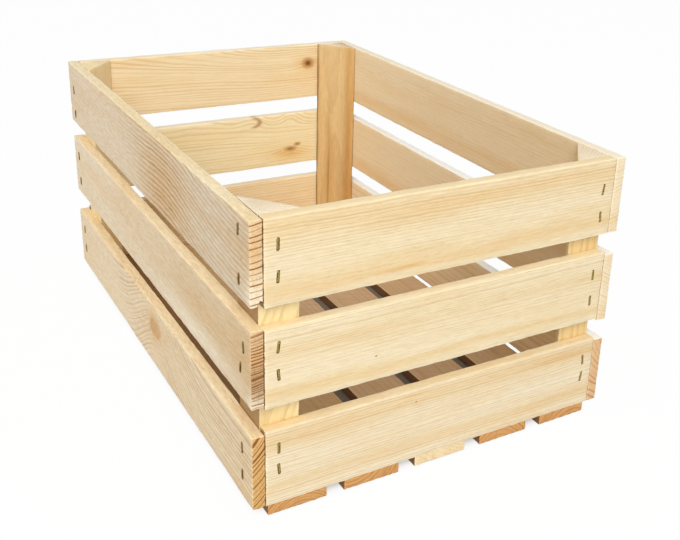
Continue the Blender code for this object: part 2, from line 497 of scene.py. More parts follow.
# %% [markdown]
# ## Rings
# A tree adds a ring each year. The rings are counted from the heart outwards, and the part of a ring that
# grew late darkens slowly and ends sharply, because winter stops it. The heart may run at a slant or bend
# along the board, slow waves and quick ripples push the rings about, and no two rings are alike in width or
# strength. On a face the rings are faint lines, and on a sawn end they are dark arcs. Stripes would be
# simpler to draw, but they could not close into those arcs.

# %% The yearly rings
# About so many rings in a row are alike in width
RING_GROUP = 5
# Shares of a ring: summer wood starts its own share before the first, is darkest at the next and then ends
LATE_START = 0.9
LATE_FULL = 0.88
RING_END = (0.92, 1.0)


def straight(across, up):
    """The length of the straight way that goes this far across and this far up."""
    return across.math("SQRT", across * across + up * up)


def ring_distance(board):
    """How far each point lay from the heart of the tree, in millimetres."""
    look = board.look
    v_near, w_near = look["heart"]
    v_far, w_far = look["far_heart"] or look["heart"]
    bend = board.u.step(*look["turn"])
    waves = board.noise("waves") * (2 * look["sway"])
    ripples = board.noise("ripples") * (2 * look["ripple"])
    up = board.v + waves + ripples - bend * (v_far - v_near) - v_near
    through = board.w - bend * (w_far - w_near) - w_near
    distance = straight(up, through)
    for at_u, at_v, long, wide, height in look["swells"]:
        distance = distance + board.spread(at_u, at_v, long, wide) * height
    return distance


def summer_wood(board):
    """How much summer wood there is: each ring darkens slowly and ends sharply."""
    look = board.look
    one_way = {"noise_dimensions": "1D"}
    beyond = ring_distance(board) - math.hypot(*look["heart"])
    group = beyond / (RING_GROUP * look["ring"]) + board.seed
    wander = beyond.node("ShaderNodeTexNoise", one_way, {"W": group, "Scale": 1.0})
    rings = beyond / look["ring"] + look["unsteady"] * wander
    number = rings.math("FLOOR", rings)
    phase = rings - number
    strength = rings.node("ShaderNodeTexWhiteNoise", one_way, {"W": number + board.seed})
    strength = 1 - look["varied"] + look["varied"] * strength
    return phase.step(LATE_START - look["late"], LATE_FULL) * (1 - phase.step(*RING_END)) * strength


print("summer wood takes about", PLAIN_LOOK["late"], "of a plain ring")

# %% Lines and arcs
# What is left of the lines where they fade out
FAINTEST = 0.25


def with_rings(wood, board, summer, edge, end):
    """Draw the summer wood as lines on the faces and edges, and as arcs on the ends."""
    look = board.look
    lines = summer * (look["lines"] - edge * (look["lines"] * (1 - look["edge_lines"])))
    if look["fade"]:
        faint, full, slope = look["fade"]
        lines = lines * (FAINTEST + (1 - FAINTEST) * (board.v + board.u * slope).step(faint, full))
    if look["flare"]:
        at_u, long, share = look["flare"]
        lines = lines * (1 - share + share * board.u.bell(at_u, long))
    wood = wood.mixed(lines * (1 - end), look["summer"], "MULTIPLY")
    arcs = summer.step(*look["end_band"]) * look["end_lines"]
    return wood.mixed(arcs * end, look["end_summer"], "MULTIPLY")


print("faded lines keep", FAINTEST, "of their strength")

# %% [markdown]
# ## Knots
# A knot is a branch that the saw cut through: reddish brown, with a faint ring round it, and with a dark
# heart if the knot is a strong one. Where the tree had begun to close over the branch, only a rim on one
# side of it shows. A spot of paint would leave the lines round it straight, so a swell in the board's look
# bends the rings there, as the wood had to grow round the branch.

# %% Knots
# Lumps of a knot's rough outline, in millimetres
KNOT_LUMP = 3
# A knot fainter than this has no dark heart
DARK_KNOT = 0.7
# Shares of a knot's radius: how rough it is, where it fades out, and where and how wide its ring is
KNOT_ROUGH = 0.4
KNOT_FADE = (0.6, 1.3)
KNOT_RING = (1.1, 0.25)
KNOT_RING_STRENGTH = 0.5
# Shares of a rim's radius: how rough and wide it is, and from where to where it grows to its side
RIM_ROUGH = 0.3
RIM_WIDTH = 0.28
RIM_SIDE = (-0.3, 0.5)


def with_knots(wood, board):
    """Draw the branches that the saw cut through."""
    for at_u, at_v, radius, stretch, strength in board.look["knots"]:
        lumps = (KNOT_LUMP * stretch, KNOT_LUMP, KNOT_LUMP)
        rough = board.spot.noise(lumps, board.seed + at_u) * (KNOT_ROUGH * radius)
        reach = straight((board.u - at_u) / stretch, board.v - at_v) + rough
        heart = KNOT_HEART if strength > DARK_KNOT else KNOT_WOOD
        branch = wood.blend(reach.step(0.0, radius), heart, KNOT_WOOD)
        inside = 1 - reach.step(*[share * radius for share in KNOT_FADE])
        ring = reach.bell(*[share * radius for share in KNOT_RING])
        wood = wood.mixed(inside * strength, branch)
        wood = wood.mixed(ring * (KNOT_RING_STRENGTH * strength), KNOT_WOOD)
    return wood


def with_crescents(wood, board):
    """Draw the rims of grown-in knots. A stretch below 0 puts a rim on the other side."""
    for at_u, at_v, radius, stretch, strength in board.look["crescents"]:
        along = (board.u - at_u) / stretch
        reach = straight(along, board.v - at_v) + board.noise("rims", at_u) * (RIM_ROUGH * radius)
        rim = reach.bell(radius, RIM_WIDTH * radius)
        one_side = along.step(*[share * radius for share in RIM_SIDE])
        wood = wood.mixed(rim * one_side * strength, KNOT_RIM)
    return wood


print("a knot fades out between", KNOT_FADE, "of its radius")

# %% [markdown]
# ## Shade, streaks and dirt
# No board is of one shade. Resin makes warm streaks and patches, fresh places stay pale, and handling leaves
# stains. Some patches and stains are painted shade, in corners and along gaps. The arrises are painted
# paler, for torn fibres and as a painted highlight. Dirt and painted shade darken the end of one board where
# it butts against another, and painted shade darkens the bottom of a slit. Each of these is one more layer
# over the plain shade, so a layer can be changed without touching the others.

# %% Shades and streaks
# Warm clouds: where their noise begins to show and shows fully, and how strong they are
CLOUD_EDGE = (-0.05, 0.22)
CLOUD_STRENGTH = 0.5
# How far streaks wander, in millimetres, and how ragged patches are
STREAK_WANDER = 14
PATCH_RAGGED = 0.27


def plain_wood(board, edge, end):
    """The board's plain shades: faces that may darken to one end as painted shade, its edges and its ends.
    """
    look = board.look
    half_length = board.half[0]
    # Painted shade: the faces turn to a darker tone towards the front end, or towards a post's foot
    nearness = (-board.u).step(-half_length, half_length)
    painted_shade_end_tone = look["painted_shade_end_tone"] or look["tone"]
    wood = board.start.blend(nearness, colour(*look["tone"]), colour(*painted_shade_end_tone))
    # Edge tones hold painted light on lit top edges and painted shade on shaded sides
    wood = wood.mixed(edge, colour(*look["edge_tone_and_painted_shading"]))
    return wood.mixed(end, colour(*look["end_tone"]))


def with_streaks(wood, board):
    """Lay warm clouds, streaks and patches, pale patches and dark stains over the wood; some are painted
    shade.
    """
    look = board.look
    wood = wood.mixed(board.noise("clouds").step(*CLOUD_EDGE) * CLOUD_STRENGTH, WARM, "MULTIPLY")
    for at_v, wide, strength in look["streaks"]:
        wander = board.noise("streaks", at_v) * STREAK_WANDER
        wood = wood.mixed((board.v + wander).bell(at_v, wide) * strength, WARM, "MULTIPLY")
    for at_u, at_v, long, wide, strength in look["patches_and_shade"]:
        patch = board.spread(at_u, at_v, long, wide) + board.noise("patches_and_shade", at_u) * PATCH_RAGGED
        wood = wood.mixed(patch * strength, WARM, "MULTIPLY")
    for at_u, at_v, long, wide, strength in look["pales"]:
        wood = wood.mixed(board.spread(at_u, at_v, long, wide) * strength, colour(*BLONDE))
    for at_u, at_v, long, wide, strength in look["stains_and_shade"]:
        wander = board.noise("stains_and_shade", at_v) * (2 * wide)
        stain = board.u.bell(at_u, long) * (board.v + wander).bell(at_v, wide)
        wood = wood.mixed(stain * strength, STAIN_AND_SHADE, "MULTIPLY")
    return wood


print("streaks wander up to", STREAK_WANDER / 2, "mm to either side")

# %% Fuzz and painted highlight, dirt and painted shade
# A pale strip along the arrises, torn fibres and a painted highlight: how ragged it is, and from where to
# where it fades out, in millimetres
FUZZ_RAGGED = 2.2
FUZZ_FADE = (0.2, 2.6)
# Dirt and painted shade at the joints, and painted shade at the bottoms of the slits:
# how ragged, how far in or how deep, in millimetres, and how strong
JOINT_RAGGED = 2.0
JOINT_FADE = (0.0, 0.8)
JOINT_STRENGTH = 0.75
SLIT_BOTTOM = (0.55, 0.9)
SLIT_STRENGTH = 0.93


def fuzz_and_highlight(board):
    """1 at the arrises, falling off over a ragged strip: pale torn fibres and a painted highlight."""
    ends, edges, faces = board.depths
    # The middle one of the three depths is the distance to the nearest arris
    arris = ends.least(edges).most(ends.most(edges).least(faces))
    return 1 - (arris + board.noise("fuzz") * FUZZ_RAGGED).step(*FUZZ_FADE)


def with_dirt_and_shade(wood, board):
    """Darken the butting ends with dirt and painted shade, and the slits' bottoms with painted shade."""
    ends, edges, faces = board.depths
    if board.look["butt"]:
        ragged = ends + board.noise("joint") * JOINT_RAGGED
        wood = wood.mixed((1 - ragged.step(*JOINT_FADE)) * JOINT_STRENGTH, DIRT_AND_PAINTED_SHADE)
    if board.look["slits"]:
        depth = ends.least(edges.least(faces))
        wood = wood.mixed(depth.step(*SLIT_BOTTOM) * SLIT_STRENGTH, DIRT_AND_PAINTED_SHADE)
    return wood


print("slits turn dark below", SLIT_BOTTOM[0], "mm")

# %% [markdown]
# ## One board's finish
# Now the layers come together: plain shades, streaks, rings, the quick changes from fibre to fibre, knots,
# fuzz with its painted highlight, and dirt with painted shade. The fibres, pores, rings and saw marks also
# change how rough or how high the surface is, so that a raking light shows them too.

# %% One board's finish
SAW_SLANT = 0.6
# Where each noise begins to show, and where it shows fully
SAW_EDGE = (0.02, 0.22)
PORE_EDGE = (0.14, 0.24)
SPECK_EDGE = (0.02, 0.22)
# How strongly each of these shades the wood
FIBRE_SHADE = 0.36
PORE_SHADE = 0.18
SAW_SHADE = 0.14
SPECK_SHADE = 0.2
FUZZ_SHADE = 0.10
# How rough dry pine is, and how that changes
DRY_PINE = 0.66
FIBRE_ROUGH = 0.2
SUMMER_SMOOTH = 0.10
PINE_SHEEN = 0.3
# How high each of these stands, as shares of the relief in metres
SUMMER_HEIGHT = 0.09
FIBRE_HEIGHT = 0.2
SAW_DEPTH = 0.12
PORE_DEPTH = 0.08
RELIEF = 0.001
RELIEF_STRENGTH = 0.8


def saw_marks(board):
    """The slanting marks that a coarse saw left."""
    along = board.u + board.v * SAW_SLANT
    slant = along.node("ShaderNodeCombineXYZ", sockets={0: along, 1: board.v, 2: board.w})
    return board.noise("saw", spot=slant).step(*SAW_EDGE) * board.look["saw"]


def pine(name, axes, low, high, look, seed):
    """The finish of one board. The axes run along the fibre, across the board and through it."""
    material, shader, start = new_finish(name)
    board = Board(start, axes, low, high, look, seed)
    end = board.facing(axes[0])
    edge = board.facing(axes[1])
    summer = summer_wood(board)
    fibres = board.noise("fibres")
    pores = board.noise("pores").step(*PORE_EDGE)
    specks = board.noise("specks").step(*SPECK_EDGE) * end
    marks = saw_marks(board)

    wood = with_streaks(plain_wood(board, edge, end), board)
    wood = with_rings(wood, board, summer, edge, end)
    light = fibres * FIBRE_SHADE + board.noise("grit") * look["grit"]
    wood = wood.shaded(light - pores * PORE_SHADE - marks * SAW_SHADE - specks * SPECK_SHADE)
    wood = with_crescents(with_knots(wood, board), board)
    # Torn fibres and a painted highlight make the arrises paler
    wood = with_dirt_and_shade(wood.shaded(fuzz_and_highlight(board) * FUZZ_SHADE), board)
    wood.feed(shader.inputs["Base Color"])

    rough = DRY_PINE + fibres * FIBRE_ROUGH - summer * SUMMER_SMOOTH
    rough.feed(shader.inputs["Roughness"])
    height = summer * SUMMER_HEIGHT + fibres * FIBRE_HEIGHT - marks * SAW_DEPTH - pores * PORE_DEPTH
    relief = {"Strength": RELIEF_STRENGTH, "Distance": RELIEF, "Height": height}
    start.node("ShaderNodeBump", sockets=relief).feed(shader.inputs["Normal"])
    shader.inputs["Specular IOR Level"].default_value = PINE_SHEEN
    return material


print("fibres rise and fall by", round(FIBRE_HEIGHT * RELIEF * MILLIMETRES, 2), "mm")

# %% [markdown]
# ## Sawing the boards
# A slat could stay a plain box with a bumpy finish, but its outline would be ruler straight. Here it starts
# as a cube that is stretched to the box of its measured solid. Its sharp edges are bevelled, as the saw and
# handling leave them, and cuts across it give enough points to bend.

# %% Tools for working a board
# The sizes of pieces are in metres
ARRIS = 0.0007
ARRIS_STEPS = 2
# Subdivide makes no more cuts than this in one round
MOST_CUTS = 100
# The share of an edge's length that has to run along a direction
ALIGNED = 0.999


def block(name, low, high):
    """A cube primitive at the size and place of a box, with its place kept in the mesh."""
    bpy.ops.object.select_all(action="DESELECT")
    bpy.ops.mesh.primitive_cube_add(size=1.0, location=(low + high) / 2)
    piece = bpy.context.active_object
    piece.name = name
    piece.data.name = name
    piece.dimensions = high - low
    bpy.ops.object.transform_apply(location=True, rotation=True, scale=True)
    return piece


def pick(piece, kind, test):
    """In edit mode, select the edges or faces that pass a test."""
    bpy.ops.mesh.select_mode(type=kind)
    bpy.ops.mesh.select_all(action="DESELECT")
    shape = bmesh.from_edit_mesh(piece.data)
    found = [part for part in (shape.edges if kind == "EDGE" else shape.faces) if test(part)]
    for part in found:
        part.select_set(True)
    bmesh.update_edit_mesh(piece.data)


def rule(piece, direction, cell):
    """Cut the piece into even strips across a direction."""
    direction = direction.normalized()
    lengths = []

    def runs_along(edge):
        run = edge.verts[1].co - edge.verts[0].co
        along = abs(run.dot(direction))
        found = along > max(2 * cell, ALIGNED * run.length)
        if found:
            lengths.append(along)
        return found

    pick(piece, "EDGE", runs_along)
    if lengths:
        cuts = round(max(lengths) / cell) - 1
        bpy.ops.mesh.subdivide(number_cuts=min(MOST_CUTS, cuts), quadcorner="STRAIGHT_CUT")


def bevel_all(offset):
    bpy.ops.mesh.select_all(action="SELECT")
    bpy.ops.mesh.bevel(offset=offset, segments=ARRIS_STEPS, affect="EDGES")


print("arrises of", ARRIS * MILLIMETRES, "mm")

# %% [markdown]
# ## Wear
# Sawn pine moves as it dries, and its edges splinter along the fibre. Each edge could be chipped by hand,
# but there are hundreds of them. So slow noise warps the faces, and two quick noises nibble at the edges
# in long bites and short ones. An empty that is stretched along the fibre draws the bites out.

# %% Wear
WARP_TEXTURE = bpy.data.textures.new("board_warp", "CLOUDS")
WARP_TEXTURE.noise_scale = 0.16
WARP_DEPTH = 0.0007
WEAR_TEXTURE = bpy.data.textures.new("edge_wear", "CLOUDS")
WEAR_TEXTURE.noise_scale = 1.0
WEAR_TEXTURE.noise_depth = 2
# Where the noise is at this level, an edge stays where it is
WEAR_LEVEL = 0.35
EDGE_GROUP = "edges"
EDGE_REACH = 1.2 * ARRIS
# How long and how wide the bites are, and how deep
BITES = ((0.030, 0.0035, 0.0010), (0.0075, 0.0020, 0.0007))


def nibble(piece, fibre_axis, long, short, depth):
    """Eat into the edges with noise that is drawn out along the fibre."""
    stretch = bpy.data.objects.new("fibre_stretch", None)
    bpy.context.scene.collection.objects.link(stretch)
    stretch.scale = (short, short, short)
    stretch.scale[fibre_axis] = long
    bpy.context.view_layer.update()
    bite = piece.modifiers.new("bite", "DISPLACE")
    bite.texture = WEAR_TEXTURE
    bite.texture_coords = "OBJECT"
    bite.texture_coords_object = stretch
    bite.vertex_group = EDGE_GROUP
    bite.mid_level = WEAR_LEVEL
    bite.strength = -depth
    bpy.ops.object.modifier_apply(modifier=bite.name)
    bpy.data.objects.remove(stretch)


def wear(piece, axes, low, high):
    """Warp the faces a little, and nibble at the edges along the fibre."""
    warp = piece.modifiers.new("warp", "DISPLACE")
    warp.texture = WARP_TEXTURE
    warp.texture_coords = "LOCAL"
    warp.strength = WARP_DEPTH
    bpy.ops.object.modifier_apply(modifier=warp.name)

    edges = piece.vertex_groups.new(name=EDGE_GROUP)
    for corner in piece.data.vertices:
        depths = sorted(min(corner.co[axis] - low[axis], high[axis] - corner.co[axis]) for axis in range(3))
        if depths[1] < EDGE_REACH:
            edges.add([corner.index], 1.0, "REPLACE")
    for long, short, depth in BITES:
        nibble(piece, axes[0], long, short, depth)


print("bites up to", [depth * MILLIMETRES for long, short, depth in BITES], "mm deep")

# %% [markdown]
# ## Where the staples are
# Each end of a wall slat has two staples into its post, one above the other, and each end of a floor slat
# has two side by side. The frame holds one of each pair. The other was driven by hand a thumb's width away,
# so its distance differs from corner to corner, and one went in a little to the side. No staple stands quite
# true: each is tilted by a few degrees, and every second one went in the other way round. The places are
# worked out from the measured crowns, so a staple stays on its board if the board moves.

# %% Staple places
ACROSS = Vector((1, 0, 0))
ALONG = Vector((0, 1, 0))
UP = Vector((0, 0, 1))
OUTWARD = {
    "front": Vector((0, -1, 0)),
    "back": Vector((0, 1, 0)),
    "left": Vector((-1, 0, 0)),
    "right": Vector((1, 0, 0)),
    "floor": Vector((0, 0, -1)),
}
ROWS = ("bottom", "middle", "top")
# How far above the measured staple the second one is, row by row, for each wall and end of its slats
SECOND_STAPLE = {
    ("front", "left"): (-0.0217, -0.0268, -0.0291),
    ("front", "right"): (-0.0202, -0.0291, -0.0290),
    ("back", "left"): (-0.0250, -0.0310, -0.0270),
    ("back", "right"): (-0.0290, -0.0240, -0.0300),
    ("left", "front"): (0.0282, 0.0225, 0.0448),
    ("left", "back"): (0.0274, 0.0344, 0.0316),
    ("right", "front"): (0.0260, 0.0290, 0.0330),
    ("right", "back"): (0.0310, 0.0250, 0.0280),
}
# How far to the side a second one went in
STRAY_STAPLE = {("left", "front", "middle"): 0.007}
FLOOR_SLATS = 5
FLOOR_PAIR = 0.028
# The most that a staple is tilted. Steps along a sine make the tilts uneven, and the same each time.
TILT = math.radians(7)
TILT_STEP = 2.4


def crown_middle(node, outward):
    """The middle of a measured staple's crown, on the face it was driven through."""
    low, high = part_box(node)
    middle = (low + high) / 2
    for axis in range(3):
        if outward[axis]:
            middle[axis] = high[axis] if outward[axis] > 0 else low[axis]
    return middle


def staple_place(spot, crown, outward, number):
    """How a staple that is modelled with its crown along X and its back up Z is set into its wall."""
    turn = Matrix((crown, outward.cross(crown), outward)).transposed().to_4x4()
    lean = math.pi * (number % 2) + TILT * math.sin(TILT_STEP * number)
    return Matrix.Translation(spot) @ turn @ Matrix.Rotation(lean, 4, "Z")


def staple_places():
    """For each wall, its measured nodes, and every staple's board and place."""
    walls = {wall: ([], []) for wall in OUTWARD}

    def add_pair(wall, node, board, crown, second):
        """Add a measured staple, and its second one this far from it."""
        nodes, places = walls[wall]
        nodes.append(node)
        first = crown_middle(node, OUTWARD[wall])
        for spot in (first, first + second):
            places.append((board, staple_place(spot, crown, OUTWARD[wall], len(places))))

    for (wall, corner), steps in SECOND_STAPLE.items():
        for level, step in zip(ROWS, steps):
            aside = STRAY_STAPLE.get((wall, corner, level), 0.0) * UP.cross(OUTWARD[wall])
            add_pair(wall, f"{wall}_staple_{level}_{corner}", f"{wall}_slat_{level}", UP, step * UP + aside)
    for number in range(1, FLOOR_SLATS + 1):
        for end, side in (("front", 1), ("back", -1)):
            node = f"floor_staple_{number}_{end}"
            add_pair("floor", node, f"floor_slat_{number}", ACROSS, side * FLOOR_PAIR * ACROSS)
    return walls


staples = staple_places()
print("staples", {wall: len(places) for wall, (nodes, places) in staples.items()})

# %% [markdown]
# ## Slits
# A staple crushes the wood as it goes in and leaves a dark slit round its crown. A painted slit would stay
# flat in a raking light. So one blade with rounded edges is modelled and copied to each staple of a board,
# the copies are joined, and one Boolean cut takes them all out of the worn face. The upper left slat has
# also lost a splinter at a lower corner, which one more block cuts away.

# %% Cut the slits
# A slit's length and width, and twice its depth, because half of the blade stays outside
SLIT = Vector((0.0120, 0.0030, 0.0034))
SLIT_ROUND = 0.0010
# The block that cuts away the splinter: from which board, how big it is, and how it is turned
NOTCH_BOARD = "left_slat_top"
NOTCH_SIZE = Vector((0.0100, 0.0090, 0.0070))
NOTCH_TURN = (0.5, 0.4, 0.3)


def shape_blade():
    """A blade that cuts one slit, with its middle on the board's face."""
    blade = block("blade", -SLIT / 2, SLIT / 2)
    bpy.ops.object.mode_set(mode="EDIT")
    bevel_all(SLIT_ROUND)
    bpy.ops.object.mode_set(mode="OBJECT")
    return blade


def copies_at(model, places):
    """Copies of a piece at all these places, each with its own mesh."""
    copies = []
    for place in places:
        copy = model.copy()
        copy.data = model.data.copy()
        bpy.context.scene.collection.objects.link(copy)
        copy.matrix_world = place
        copies.append(copy)
    return copies


def join(pieces):
    """Join pieces into the first of them."""
    bpy.ops.object.select_all(action="DESELECT")
    for piece in pieces:
        piece.select_set(True)
    bpy.context.view_layer.objects.active = pieces[0]
    bpy.ops.object.join()
    return pieces[0]


def cut_slits(piece, node):
    """Cut the slits of a board's staples into its face, and the notch of the splintered board."""
    places = [place for _, wall in staples.values() for board, place in wall if board == node]
    blades = copies_at(slit_blade, places)
    if node == NOTCH_BOARD:
        low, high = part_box(node)
        notch = block("notch", -NOTCH_SIZE / 2, NOTCH_SIZE / 2)
        notch.rotation_euler = NOTCH_TURN
        notch.location = (high.x, low.y, low.z)
        blades.append(notch)
    joined = join(blades)
    cut = piece.modifiers.new("slits", "BOOLEAN")
    cut.operation = "DIFFERENCE"
    cut.object = joined
    bpy.context.view_layer.objects.active = piece
    bpy.ops.object.modifier_apply(modifier=cut.name)
    bpy.data.objects.remove(joined)


slit_blade = shape_blade()
print("blade", [round(side * MILLIMETRES, 1) for side in SLIT], "mm")

# %% [markdown]
# ## The wall and floor slats
# Every slat is its own slice of a tree: where the heart lay, how wide its rings grew, its shade, its streaks
# and knots. The slats of one wall came from similar wood, so each starts from its wall's look and changes a
# few values. A patch that is listed twice is twice as strong.

# %% Looks of the walls
FRONT = {
    "tone": CREAM, "summer": ORANGE_SUMMER, "heart": (190, 60), "ring": 2.9, "sway": 3.0, "lines": 0.5,
    "fade": (-22, 14, 0), "grit": 0.34, "butt": True,
}
# Lighter edge tones are painted light on lit top edges; the darker tones at the front end are painted shade
LEFT = {"tone": GREYED, "painted_shade_end_tone": DUN, "edge_tone_and_painted_shading": SAND, "lines": 0.32, "grit": 0.75}
RIGHT = {"tone": TAN, "painted_shade_end_tone": DUNE, "edge_tone_and_painted_shading": BLONDE, "lines": 0.12, "end_lines": 0.2}
BACK = {
    "tone": GOLD, "edge_tone_and_painted_shading": BLONDE, "summer": ORANGE_SUMMER, "ring": 3.6, "lines": 0.5, "butt": True,
}
# The floor slats' sides are painted dark brown, as painted shade
FLOOR = {
    "tone": DUSTY, "edge_tone_and_painted_shading": PAINTED_SHADE_UMBER, "end_tone": OCHRE, "lines": 0.25, "end_lines": 0.5, "saw": 1.0,
}
POST = {
    "tone": BUTTER, "edge_tone_and_painted_shading": BUTTER, "end_tone": SHELL, "ring": 3.5, "lines": 0.4, "end_lines": 0.2,
    "slits": False,
}
print("rings at the front", FRONT["ring"], "mm wide, at the back", BACK["ring"], "mm")

# %% Looks of the boards
LOOKS = {
    "front_slat_top": {
        **FRONT,
        "streaks": ((28, 14, 0.8), (-25, 10, 0.85)),
        "patches_and_shade": ((-55, -29, 22, 1.6, 1.0), (-50, -28, 14, 1.0, 1.0)),
    },
    "front_slat_middle": {
        **FRONT, "heart": (230, 40),
        "streaks": ((14, 9, 0.5), (-26, 6, 1.0)),
        "knots": ((-79, -13, 0.8, 1.4, 0.9),),
    },
    "front_slat_bottom": {
        **FRONT, "tone": OAT, "heart": (-210, 50), "fade": None,
        "streaks": ((28, 12, 1.0), (-21, 8, 0.9)),
        "patches_and_shade": ((150, 27, 45, 5, 1.0), (-35, 33, 14, 1.6, 1.0)),
        "knots": ((-33, 25, 0.8, 1.3, 0.9),),
    },
    "left_slat_top": {
        **LEFT, "tone": LINEN, "painted_shade_end_tone": ASHEN, "edge_tone_and_painted_shading": STRAW, "end_tone": WHEAT,
        "summer": DARK_SUMMER, "end_summer": DARK_END,
        "heart": (175, -14), "far_heart": (197, -17), "turn": (-310, -60),
        "ring": 5.4, "late": 0.45, "unsteady": 0.8, "varied": 0.4, "sway": 3.0, "ripple": 1.6,
        "lines": 1.0, "edge_lines": 0.1, "end_lines": 1.0, "end_band": (0.35, 0.8),
        "fade": (-80, 40, -1.0), "flare": (-85, 75, 0.5),
        "patches_and_shade": ((-75, -5, 85, 60, 0.85), (-85, -12, 60, 45, 0.9), (-300, 8, 50, 45, 0.8)),
        "pales": ((-300, -30, 14, 22, 0.6),),
        "swells": ((-90, 0, 70, 60, 5),),
        "knots": ((-283, 0, 1.2, 0.8, 0.9),),
    },
    "left_slat_middle": {
        **LEFT, "end_tone": HAY, "heart": (280, -45), "ring": 3.0, "late": 0.7, "ripple": 1.3,
        "lines": 0.16, "end_lines": 1.0,
        "patches_and_shade": ((-170, 4, 90, 22, 0.6), (-300, 6, 60, 30, 0.9), (60, 12, 80, 16, 0.4)),
        "pales": ((-150, -27, 110, 13, 0.75), (-300, -33, 9, 8, 0.7)),
        "stains_and_shade": ((-300, -13, 1.2, 18, 0.45),),
    },
    "left_slat_bottom": {
        **LEFT, "tone": BARLEY, "painted_shade_end_tone": FLAX, "end_tone": HONEY, "end_summer": DARK_END,
        "heart": (200, -210), "ring": 3.8, "late": 0.65, "lines": 0.3, "end_lines": 1.0,
        "fade": (-150, -50, -1.0), "flare": (-27, 32, -1.2),
        "patches_and_shade": (
            (-24, 9, 36, 22, 0.6), (-24, 11, 20, 16, 1.0), (-24, 16, 13, 16, 1.0), (-300, 0, 50, 60, 0.4),
        ),
        "swells": ((-27, 5, 82, 90, 40), (-24, 11, 22, 14, 6)),
        "knots": ((-24, 11, 8, 1.6, 0.4),),
        "crescents": ((-23, 12, 8, 1.4, 0.3), (-29, 14, 9, -1.5, 0.3)),
    },
    "right_slat_top": {**RIGHT, "end_tone": BISCUIT, "streaks": ((-26, 8, 0.7),)},
    # The top edges of these two are painted almost white, as a painted highlight
    "right_slat_middle": {
        **RIGHT, "edge_tone_and_painted_shading": PAINTED_HIGHLIGHT_IVORY, "end_tone": BISCUIT, "heart": (120, 60), "streaks": ((-28, 8, 0.7),),
    },
    "right_slat_bottom": {
        **RIGHT, "edge_tone_and_painted_shading": PAINTED_HIGHLIGHT_IVORY, "end_tone": APRICOT, "heart": (80, 80), "ring": 6.0, "lines": 0.35,
        "end_lines": 0.5,
    },
    "back_slat_top": {
        **BACK, "heart": (46, -42), "far_heart": (47, -7), "turn": (-190, 190),
        "patches_and_shade": ((135, 12, 16, 10, 1.0),) * 2,
        "swells": ((135, 12, 22, 10, 6),),
        "knots": ((135, 12, 6.5, 1.2, 1.0),),
    },
    "back_slat_middle": {
        **BACK, "tone": PRIMROSE, "heart": (64, -60), "far_heart": (70, -40), "turn": (-60, 160),
        "sway": 7.0,
        "patches_and_shade": ((105, -21, 26, 9, 1.0),) * 2,
        "swells": ((109, -14, 24, 12, 7), (49, 33, 20, 12, 5), (109, 37, 20, 14, 8)),
        "knots": ((107, -15, 3.5, 2.4, 0.75), (118, -9, 2.5, 2.0, 0.75)),
        "crescents": ((46, 31, 7, 1.8, 0.75),),
    },
    # Its left part is painted darker, as painted shade in the crate's back left corner
    "back_slat_bottom": {
        **BACK,
        "patches_and_shade": ((-150, 0, 60, 60, 1.0),) * 2,
        "stains_and_shade": ((-115, 0, 60, 80, 0.45),),
    },
    # The slat by the left wall is painted darker all over, as painted shade of that wall
    "floor_slat_1": {**FLOOR, "tone": PAINTED_SHADE_BROWN, "heart": (4, -26), "ring": 3.4},
    "floor_slat_2": {**FLOOR, "tone": FAWN, "heart": (-20, 30)},
    "floor_slat_3": {**FLOOR, "end_tone": STRAW, "heart": (60, 90), "end_lines": 0.15},
    "floor_slat_4": {**FLOOR, "heart": (-8, -22), "ring": 4.2},
    "floor_slat_5": {**FLOOR, "heart": (16, -28), "ring": 3.8},
    "front_left_post": {
        **POST, "edge_tone_and_painted_shading": SHADED, "heart": (-25, 42), "far_heart": (35, 42), "lines": 0.35,
    },
    "front_right_post": {**POST, "tone": CORN, "heart": (-30, 50)},
    # This post is painted lighter all over, as painted light on faces that the lamp doesn't reach
    "back_left_post": {
        **POST, "tone": PAINTED_LIGHT_CREAM, "edge_tone_and_painted_shading": PAINTED_LIGHT_CREAM, "end_tone": PAINTED_LIGHT_CREAM, "heart": (40, 20), "lines": 0.15,
    },
    # Painted shade: the darker foot, dark lines along both sides in the gaps, and faint ones down the middle
    "back_right_post": {
        **POST, "tone": PALE_GOLD, "painted_shade_end_tone": TOFFEE, "edge_tone_and_painted_shading": AMBER, "heart": (-60, -40),
        "lines": 0.8, "grit": 0.4,
        "streaks": ((13, 6, 1.0), (16, 3.5, 0.8)),
        "patches_and_shade": ((-80, -5, 110, 5, 1.0),),
        "stains_and_shade": (
            (0, -19, 400, 1.1, 0.8), (0, 19, 400, 1.0, 0.8),
            (-80, -7, 90, 1.2, 0.4), (-50, 11, 160, 6, 0.25),
        ),
    },
}
print("boards", len(LOOKS), "of which with knots", sum("knots" in look for look in LOOKS.values()))

# %% Saw the slats
# The crate's axes along the fibre, across the board and through it
AXES = {"side": (1, 2, 0), "end": (0, 2, 1), "floor": (1, 0, 2), "post": (2, 0, 1)}
SLOTS = {"side": "side_pine", "end": "end_pine", "floor": "floor_pine", "post": "post_pine"}
# Metres between the cuts. A first round of cuts is coarser, because one round makes only so many.
CELL = {"fibre": 0.004, "width": 0.003, "thickness": 0.0026}
COARSE = 4
SMOOTH_BELOW = math.radians(40)
SLAT_SEED = 11
SLAT_SEED_STEP = 17


def kind_of(node):
    if "post" in node:
        return "post"
    if "floor" in node:
        return "floor"
    return "side" if node.split("_")[0] in ("left", "right") else "end"


